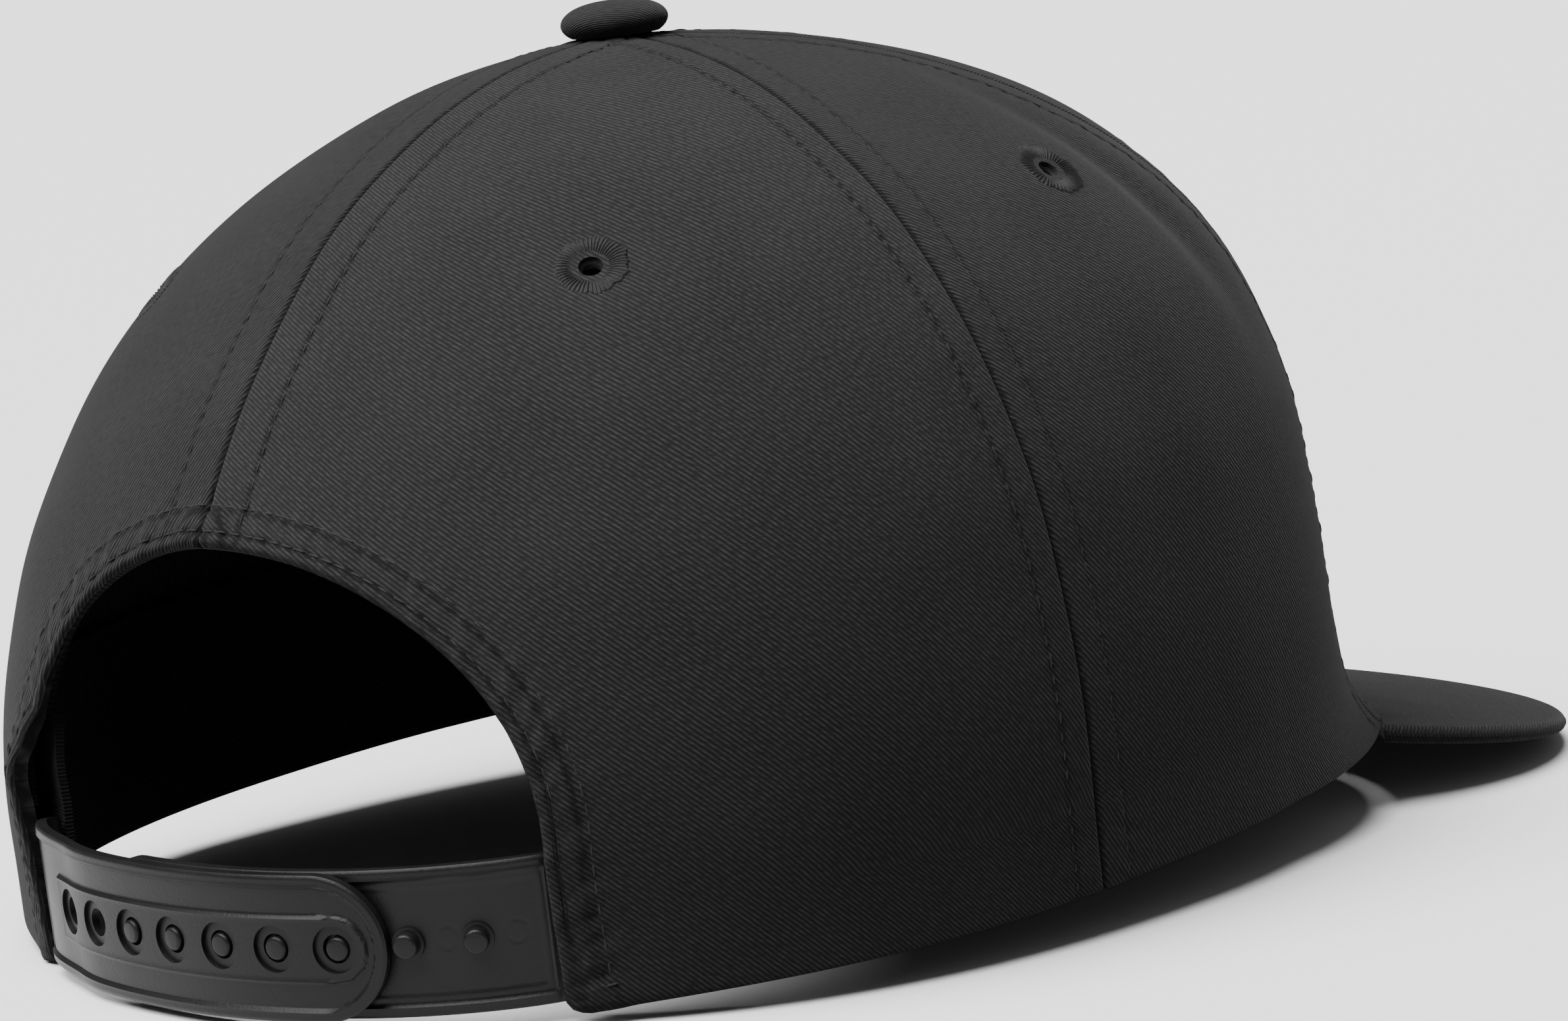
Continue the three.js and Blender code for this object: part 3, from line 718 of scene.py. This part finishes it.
def cylinderAlong(point, direction, radius, length, sides=32):
    middle = Vector(toScene([point])[0])
    tipped = Vector(tipMatrix @ np.asarray(direction, float))
    bpy.ops.object.select_all(action="DESELECT")
    bpy.ops.mesh.primitive_cylinder_add(vertices=sides, radius=radius * 0.001, depth=length * 0.001)
    bar = bpy.context.object
    bar.data.transform(Matrix.Translation(middle) @ tipped.to_track_quat("Z", "Y").to_matrix().to_4x4())
    return bar


for name, panelName, turn, height in eyelet["spots"]:
    climb, centre, normal = eyeletCentre(turn, height)
    east = np.cross((0, 0, 1), normal)
    east /= np.linalg.norm(east)
    north = np.cross(normal, east)
    cutWith(bpy.data.objects[panelName + "_cloth"], [cylinderAlong(centre, normal, eyelet["hole"] + 0.4, 9)])
    bpy.ops.object.select_all(action="DESELECT")
    bpy.ops.mesh.primitive_torus_add(major_segments=336, minor_segments=20, major_radius=2, minor_radius=1)
    ring = bpy.context.object
    ring.name = ring.data.name = name + "_thread"
    spot = np.array([v.co for v in ring.data.vertices])
    angle = np.arctan2(spot[:, 1], spot[:, 0])
    share = np.clip((np.hypot(spot[:, 0], spot[:, 1]) - 1) / 2, 0, 1)
    phase = angle * eyelet["threads"] + 0.8 * np.sin(angle * 5) + 0.5 * np.sin(angle * 13)
    ragged = 0.15 * np.sin(angle * 7 + turn) + 0.14 * np.sin(angle * 17 + 1) + 0.15 * np.sin(phase)
    radius = lerp(eyelet["hole"], eyelet["rim"] + ragged, share)
    funnel = -eyelet["dip"] * hill(radius, 0, eyelet["dipWidth"]) - 1.1 * hill(radius, 0.9, 1.15)
    ridge = 0.14 * np.sin(share * np.pi) ** 0.5 + 0.1 * hill(radius, 3.9, 0.8)
    stitch = eyelet["threadHeight"] * np.sin(phase) * smooth(radius, 1.1, 1.8)
    upper = spot[:, 2] >= -0.02
    away = np.where(upper, funnel + ridge + stitch * np.sin(share * np.pi) ** 0.3, funnel - 0.9)
    base = crownLift(np.array([turn]), climb, False)[0] - radius**2 / 150
    flat = centre + east * (np.cos(angle) * radius)[:, None] + north * (np.sin(angle) * radius)[:, None]
    ring.data.vertices.foreach_set("co", toScene(flat + normal * (away + base)[:, None]).ravel())
    bpy.ops.object.shade_smooth()
    finishPiece(ring, thread, "thread", name)
print("eyelets made")

# Top button: a padded disc of cloth, pressed on where the panels meet
button = {"radius": 7.7, "height": 4.9, "tuck": -40, "shank": 2.6, "clear": 0.3}
bpy.ops.object.select_all(action="DESELECT")
bpy.ops.mesh.primitive_uv_sphere_add(segments=64, ring_count=32, radius=1, calc_uvs=True)
dome = bpy.context.object
dome.name = dome.data.name = "top_button_cloth"
spot = np.array([v.co for v in dome.data.vertices])
lift = np.degrees(np.arcsin(np.clip(spot[:, 2], -1, 1)))
angle = np.arctan2(spot[:, 1], spot[:, 0])
reach = np.cos(np.radians(lift)) ** 0.8 * button["radius"]
foot = math.sin(math.radians(button["tuck"]))
rise = np.where(lift > button["tuck"], (np.sin(np.radians(lift)) - foot) / (1 - foot), 0) * button["height"]
creases = 0.05 * np.sin(angle * 9 + 0.6) * smooth(-spot[:, 2], -0.3, 0.5)
top = rise + crown["height"] + button["clear"]
points = np.stack([np.cos(angle) * reach, np.sin(angle) * reach - crown["apexForward"], top], -1)
points[:, :2] += np.stack([np.cos(angle), np.sin(angle)], -1) * creases[:, None]
dome.data.vertices.foreach_set("co", toScene(points).ravel())
corners = np.empty(len(dome.data.loops), int)
dome.data.loops.foreach_get("vertex_index", corners)
dome.data.uv_layers[0].name = "cloth"
spread = button["radius"] * np.radians(90 - lift) * 0.75
turned = np.stack([np.cos(angle + 1) * spread, np.sin(angle + 1) * spread], -1) * 0.001
dome.data.uv_layers[0].data.foreach_set("uv", turned[corners].ravel())
bpy.ops.object.shade_smooth()
shank = cylinderAlong((0, -crown["apexForward"], crown["height"] - 0.2), (0, 0, 1), button["shank"], 2.4)
finishPiece(joined([dome, shank]), cotton, "twill", "top_button")

# The hem, folded up inside the arch
hem = {
    "from": 2.6,
    "width": 7,
    "depth": 2.25,
    "wall": 0.9,
    "foot": {"left": 20, "right": 19.8},
    "footShare": 0.12,  # the share of its length that ends in each foot
}


def hemPlace(across, upward):
    grow = lerp(hem["from"], hem["width"], upward)
    left = across < 0.5
    fromFoot = 1 - np.abs(2 * across - 1)
    x = np.empty(len(across))
    z = np.empty(len(across))
    for side, chosen in (("left", left), ("right", ~left)):
        form = arch[side]
        rise = arch["height"] - form["leg"] + grow
        low = max(0, (hem["foot"][side] - form["leg"]) / arch["height"]) ** (form["squareness"] / 2)
        down = max(0, form["leg"] - hem["foot"][side])
        angle = lerp(np.arcsin(low), np.pi / 2, smooth(fromFoot, hem["footShare"], 1) if down else fromFoot)
        wide = (form["reach"] + grow) * np.cos(angle) ** (2 / form["squareness"])
        high = form["leg"] + rise * np.sin(angle) ** (2 / form["squareness"])
        high = high - down * (1 - np.clip(fromFoot / hem["footShare"], 0, 1))
        x[chosen] = (wide * (-1 if side == "left" else 1))[chosen]
        z[chosen] = high[chosen]
    turn = turnAcross(x, z)
    climb = climbOf(turn, z)
    point, normal = facePoint(turn, climb), faceNormal(turn, climb)
    bow = np.where(left, legLift(point, nearest(point, archPoints["left"])[0]), 0)
    return point + normal * (bow - hem["depth"])[:, None], normal


def hemCloth(across, upward):
    return across * 90 + upward * 5, upward * 5 - across * 90


fold = gridPiece("arch_hem_cloth", 160, 8, hemPlace, hem["wall"], None, hemCloth)
finishPiece(fold, cotton, "twill", "arch_hem")

# The sweatband: ribbed webbing, running from foot to foot round the front
sweat = {
    "lift": 1,
    "height": 32,
    "wall": 1.2,
    "onCloth": 1.75,  # how far its face lies inside the crown's face
    "onStrap": 4.15,
    "onHem": 3.35,
    "right": 56.1,  # how far across it ends on each side
    "left": 36.9,
    "tab": 11,  # length of the strap's sewn end, which it steps in for
}


def bandPlace(across, upward):
    height = sweat["lift"] + sweat["height"] * upward
    heights = np.linspace(0, 40, 41)
    first = np.interp(height, heights, turnAcross(np.full(41, sweat["right"]), heights))
    last = np.interp(height, heights, turnAcross(np.full(41, -sweat["left"]), heights)) + 360
    turn = lerp(first, last, across)
    climb = climbOf(turn, height)
    point, normal = facePoint(turn, climb), faceNormal(turn, climb)
    wide = np.abs(point[:, 0])
    clear = np.where(point[:, 0] < 0, arch["right"]["reach"], arch["left"]["reach"]) + sweat["tab"]
    step = np.where(np.cos(np.radians(turn)) > 0, 1 - smooth(wide, clear + 1.5, clear + 8), 0)
    overStrap = lerp(sweat["onStrap"], sweat["onHem"], smooth(height, 19, 27))
    inward = np.where(point[:, 0] > 0, overStrap, sweat["onStrap"])
    return point - normal * lerp(sweat["onCloth"], inward, step)[:, None], normal


def bandCloth(across, upward):
    return upward * sweat["height"], across * 500


webbing = gridPiece("sweatband_web", 260, 26, bandPlace, sweat["wall"], None, bandCloth)
finishPiece(webbing, band, "ribbed_band", "sweatband")
print("button, hem and band made")

# The peak: a board between two layers of cloth, with a rounded edge
peak = {
    "width": 157,
    "length": 61.4,
    "rounding": 61.3,
    "squareness": 2.06,
    "thick": 3,
    "drop": 0.4,
    "slope": 0.215,
    "bow": 3.5,
    "bowPower": 1.7,
    "end": 0.45,  # its width where its two ends stop
}
peakCentre = np.array([0, -crown["rimLength"] / 5])


def peakReach(turn):
    # inner edge, outward direction and width of the peak along rays from a point in the head
    inner = facePoint(turn, np.full_like(turn, -crown["uprightShare"]))[:, :2]
    outward = inner - peakCentre
    outward /= np.linalg.norm(outward, axis=1, keepdims=True)
    inner = inner + outward * (0.3 + frontFlare(turn, 0))[:, None]
    widest = -crown["rimLength"] / 2 - peak["length"] + peak["rounding"]
    widths = np.linspace(0.4, 2 * peak["length"], 1200)
    spots = inner[:, None] + outward[:, None] * widths[None, :, None]
    inside = (
        np.abs(spots[..., 0] / (peak["width"] / 2)) ** peak["squareness"]
        + np.abs((spots[..., 1] - widest) / peak["rounding"]) ** peak["squareness"]
    )
    reach = np.array([np.interp(1, row, widths) if row[0] < 1 else 0 for row in inside])
    return inner, outward, reach


scan = np.linspace(100, 150, 501)
peakStart = np.interp(peak["end"], peakReach(scan)[2], scan)


def peakPlace(across, upward):
    turns = np.linspace(peakStart, 360 - peakStart, 241)
    inner, outward, reach = peakReach(turns)
    turn = lerp(peakStart, 360 - peakStart, across)
    spot = [np.interp(turn, turns, inner[:, k]) for k in (0, 1)]
    way = [np.interp(turn, turns, outward[:, k]) for k in (0, 1)]
    width = np.interp(turn, turns, reach) * (1 - upward**1.6)
    x, y = spot[0] + way[0] * width, spot[1] + way[1] * width
    bow = peak["bow"] * np.abs(x / (peak["width"] / 2)) ** peak["bowPower"]
    z = peak["slope"] * (y + crown["rimLength"] / 2) - bow - peak["drop"]
    # the cloth rises into the seam, so no slot shows under the front panel
    bowStart = peak["bow"] * np.abs(spot[0] / (peak["width"] / 2)) ** peak["bowPower"]
    start = peak["slope"] * (spot[1] + crown["rimLength"] / 2) - bowStart - peak["drop"]
    z = z + np.maximum(0, -0.2 - start) * np.exp(-width / 3)
    points = np.stack([x, y, z], -1)
    return points, np.tile((0.0, 0.0, 1.0), (len(x), 1))


peakRadius = peak["thick"] / 2 - 0.05


def peakEdge(across, upward):
    points = peakPlace(across, upward)[0]
    rim = peakPlace(across, np.zeros_like(upward))[0]
    fromEdge = np.linalg.norm(points[:, :2] - rim[:, :2], axis=1)
    return points, fromEdge, np.clip(1 - fromEdge / peakRadius, 0, 1)


def peakCloth(across, upward):
    points, _, turned = peakEdge(across, upward)
    outward = points[:, :2] - peakCentre
    outward /= np.linalg.norm(outward, axis=1, keepdims=True)
    x, y = (points[:, :2] + outward * (peakRadius * (np.arcsin(turned) - turned))[:, None]).T
    return x * 0.7 + y * 0.7, y * 0.7 - x * 0.7


def peakDrop(across, upward):
    # the cloth turns round the board's edge in half a circle, after a last slight fall
    points, fromEdge, turned = peakEdge(across, upward)
    crease = 0.12 * hill(fromEdge, 9, 5) * np.sin(points[:, 0] / 5.5) * smooth(np.abs(points[:, 0]), 40, 70)
    return peakRadius * (1 - np.sqrt(1 - turned**2)) + 0.25 * np.exp(-fromEdge / 3) + crease


def peakWall(across, upward):
    return peak["thick"] - 2 * peakDrop(across, upward)


board = gridPiece(
    "peak_cloth", 220, 56, peakPlace, peakWall, lambda across, upward: -peakDrop(across, upward), peakCloth
)
finishPiece(board, cotton, "twill", "peak")
print("peak made")

# The strap: two moulded strips that overlap, one with holes and one with pegs
strap = {
    "height": 19.2,
    "drop": 0.3,
    "thick": 1.6,
    "bow": 7.6,
    "tab": 11,
    "holes": 7,
    "pitch": 8.9,
    "hole": 1.9,
    "peg": 1.6,
    "counter": 3.1,
    "counterDepth": 0.6,
    "first": 17.8,
    "end": 6.9,
    "empty": 2,
    "pegsEnd": 8.2,
    "border": 1.5,
    "field": 0.42,
    "middleBand": 4.15,
    "step": 0.22,
    "bead": 0.07,
    "stations": 250,
    "endStations": 34,
    "rows": 72,
    "trim": 3.2,  # the sewn end is cut narrower
    "pull": 2,  # the leg is pulled out this far where the outer strap leaves it
}
strapMiddle = strap["height"] / 2 - strap["drop"]


def strapSpot(across, depth):
    turn = turnAcross(across, np.full_like(across, strapMiddle))
    climb = climbOf(turn, strapMiddle)
    share = (2 * across + arch["left"]["reach"] - arch["right"]["reach"]) / (
        arch["left"]["reach"] + arch["right"]["reach"]
    )
    bulge = strap["bow"] * np.maximum(0, 1 - share * share) ** 0.83
    outward = faceNormal(turn, climb)
    outward[:, 2] = 0
    outward /= np.linalg.norm(outward, axis=1, keepdims=True)
    return facePoint(turn, climb) + outward * (bulge - hem["depth"] - depth)[:, None]


routeAcross = np.linspace(-arch["left"]["reach"] - strap["tab"], arch["right"]["reach"] + strap["tab"], 321)
routeSpots = strapSpot(routeAcross, np.zeros(321))
routeLength = arcLengths(routeSpots[:, :2])


def strapPlace(length, depth):
    # points on the middle line of a strap, and their outward directions
    length = np.asarray(length, float)
    spots = [strapSpot(np.interp(length + off, routeLength, routeAcross), depth) for off in (-1, 0, 1)]
    along = spots[2] - spots[0]
    along[:, 2] = 0
    along /= np.linalg.norm(along, axis=1, keepdims=True)
    return spots[1], np.stack([along[:, 1], -along[:, 0], np.zeros(len(along))], -1)


def holeAt(k):
    return strap["tab"] + strap["first"] + k * strap["pitch"]


strapEnd = routeLength[-1]
underEnd = holeAt(strap["empty"]) - strap["pegsEnd"]
outerEnd = holeAt(strap["holes"] - 1) + strap["end"]


def outerLift(length):
    pulled = strap["pull"] * smooth(length, 10.6, 13.2) * (1 - smooth(length, 13.5, 30))
    return (strap["thick"] + 0.3) * smooth(length, strap["tab"], underEnd - 1) + pulled


def strapShape(name, sewnEnd, freeEnd, lift, relief):
    radius = strap["height"] / 2
    way = math.copysign(1, freeEnd - sewnEnd)
    straight = np.linspace(sewnEnd, freeEnd - way * radius, strap["stations"])
    bend = np.radians(np.linspace(0, 87, strap["endStations"])[1:])
    rounded = freeEnd - way * radius * (1 - np.sin(bend))
    stations = np.sort(np.concatenate([straight, rounded]))
    middles, outwards = strapPlace(stations, -lift(stations))
    missing = np.maximum(0, radius - np.abs(freeEnd - stations))
    halves = np.sqrt(radius**2 - missing**2)
    if way > 0:
        halves = halves - strap["trim"] * (1 - smooth(stations, 8, 12.5))
    count = len(stations) - 1

    def spread(across, upward):
        column = across * count
        known = np.arange(count + 1)
        middle = np.stack([np.interp(column, known, middles[:, k]) for k in range(3)], -1)
        outward = np.stack([np.interp(column, known, outwards[:, k]) for k in range(3)], -1)
        half, length = np.interp(column, known, halves), np.interp(column, known, stations)
        high = half * (2 * upward - 1)
        middle[:, 2] = strapMiddle + high
        return middle, outward, length, high

    def place(across, upward):
        middle, outward, _, _ = spread(across, upward)
        return middle, outward

    def lifted(across, upward):
        _, _, length, high = spread(across, upward)
        fromEnd = np.abs(freeEnd - length)
        corner = np.hypot(np.maximum(0, radius - fromEnd), high)
        edge = np.where(fromEnd < radius, radius - corner, radius - np.abs(high))
        return relief(length, high, edge)

    return gridPiece(name, count, strap["rows"], place, strap["thick"], lifted)


def roundedEdge(edge):
    return -0.3 * (1 - smooth(edge, 0, 0.4))


def outerRelief(length, high, edge):
    first, last = holeAt(0) - 4.2, holeAt(strap["holes"] - 1)
    beside = np.maximum(np.abs(high), first + strap["middleBand"] - length)
    toBand = np.where(length > last, np.hypot(length - last, high), beside)
    start = strap["tab"] + 2
    border, middle = strap["border"], strap["middleBand"]
    recess = smooth(np.minimum(edge, length - start + border), border, border + strap["step"])
    recess = recess * smooth(toBand, middle, middle + strap["step"])
    trim = strap["bead"] * (hill(edge, border - 0.2, 0.16) + hill(toBand, middle - 0.2, 0.16))
    return roundedEdge(edge) - strap["field"] * recess + trim


def underRelief(length, high, edge):
    end = holeAt(8) + 9.3
    inside = np.minimum(edge, end - length + strap["border"])
    recess = 0.25 * smooth(inside, strap["border"], strap["border"] + 0.2)
    step = 0.12 * smooth(inside, strap["border"] + 1.1, strap["border"] + 1.3)
    trim = 0.08 * hill(inside, strap["border"] - 0.2, 0.18) * (np.abs(high) < 8.4)
    marks = 0  # faint rings beside the last two pegs
    for peg in (7, 8):
        ring = np.hypot(length - holeAt(peg) - 5.1, high - 0.4)
        marks = marks - 0.09 * hill(ring, 1.45, 0.16)
    return roundedEdge(edge) - recess - step + trim + marks


under = strapShape("strap_pegs_moulded", strapEnd, underEnd, np.zeros_like, underRelief)
outer = strapShape("strap_holes_moulded", 0, outerEnd, outerLift, outerRelief)
holes, counters, feet, pegs = [], [], [], []
for k in range(strap["holes"]):
    length = np.array([holeAt(k)])
    point, outward = (part[0] for part in strapPlace(length, -outerLift(length)))
    point[2] = strapMiddle
    holes.append(cylinderAlong(point, outward, strap["hole"], 8))
    sink = point + outward * (2 - strap["counterDepth"])
    counters.append(cylinderAlong(sink, outward, strap["counter"], 4, 48))
    length = np.array([holeAt(strap["empty"] + k)])
    point, outward = (part[0] for part in strapPlace(length, np.array([0.0])))
    point[2] = strapMiddle
    feet.append(cylinderAlong(point - outward * 0.3, outward, strap["peg"] + 0.5, 1, 40))
    peg = cylinderAlong(point + outward * 0.5, outward, strap["peg"], 2.7, 40)
    chamfer = peg.modifiers.new("chamfer", "BEVEL")
    chamfer.width, chamfer.segments, chamfer.limit_method = 0.0005, 4, "ANGLE"
    bpy.ops.object.modifier_apply(modifier="chamfer")
    pegs.append(peg)
cutWith(outer, holes)
cutWith(outer, counters)
cutWith(under, feet, "UNION")
cutWith(under, pegs, "UNION")
for piece, node in ((under, "strap_pegs"), (outer, "strap_holes")):
    bpy.ops.object.select_all(action="DESELECT")
    piece.select_set(True)
    bpy.context.view_layer.objects.active = piece
    bpy.ops.object.shade_smooth_by_angle(angle=math.radians(40))
    finishPiece(piece, plastic, "strap_plastic", node)
print("straps made")

# A wide white table, one broad soft light from above and the left, and the photo's camera
bpy.ops.object.select_all(action="DESELECT")
bpy.ops.mesh.primitive_plane_add(size=400, location=(0, 0, -0.0005))
table = bpy.context.object
table.name = "white_table"
paper, paperTree, paperShader = newMaterial("mattWhitePaper")
place = addNode(paperTree, "ShaderNodeTexCoord").outputs["Object"]
pulp = addNode(paperTree, "ShaderNodeTexNoise", {"Vector": place, "Scale": 900.0})
colour = addNode(paperTree, "ShaderNodeValToRGB", {"Fac": pulp})
for stop, position, shade in zip(colour.color_ramp.elements, (0.3, 0.7), ("#f6f6f6", "#fbfbfb")):
    stop.position, stop.color = position, srgb(shade)
paperTree.links.new(colour.outputs[0], paperShader.inputs["Base Color"])
paperShader.inputs["Roughness"].default_value = 0.95
paperShader.inputs["Specular IOR Level"].default_value = 0.1
table.data.materials.append(paper)
table.visible_diffuse = False  # in the photo no light comes up from below

studio = {"sun": 8, "spread": 60, "from": (0.1, 0.42, 1), "room": 0.15}
world = bpy.data.worlds.new("studio")
world.use_nodes = True
world.node_tree.nodes["Background"].inputs["Color"].default_value = srgb("#ffffff")
world.node_tree.nodes["Background"].inputs["Strength"].default_value = studio["room"]
bpy.context.scene.world = world
lamp = bpy.data.objects.new("overhead_softbox", bpy.data.lights.new("overhead_softbox", "SUN"))
lamp.data.energy, lamp.data.angle = studio["sun"], math.radians(studio["spread"])
lamp.matrix_world = Vector(studio["from"]).to_track_quat("Z", "Y").to_matrix().to_4x4()
bpy.context.collection.objects.link(lamp)

view = {
    "eye": (-0.4611669, 0.48269743, 0.13181763),
    "aim": (0.01965093, -0.01846149, 0.0443308),
    "roll": -4.33703,
    "lens": 104.14402,
    "sensor": 36,
}
camera = bpy.data.objects.new("photo_camera", bpy.data.cameras.new("photo_camera"))
bpy.context.collection.objects.link(camera)
look = (Vector(view["aim"]) - Vector(view["eye"])).to_track_quat("-Z", "Y").to_matrix().to_4x4()
roll = Matrix.Rotation(math.radians(view["roll"]), 4, "Z")
camera.matrix_world = Matrix.Translation(Vector(view["eye"])) @ look @ roll
camera.data.lens, camera.data.sensor_width = view["lens"], view["sensor"]
bpy.context.scene.camera = camera
print("stage and camera set")
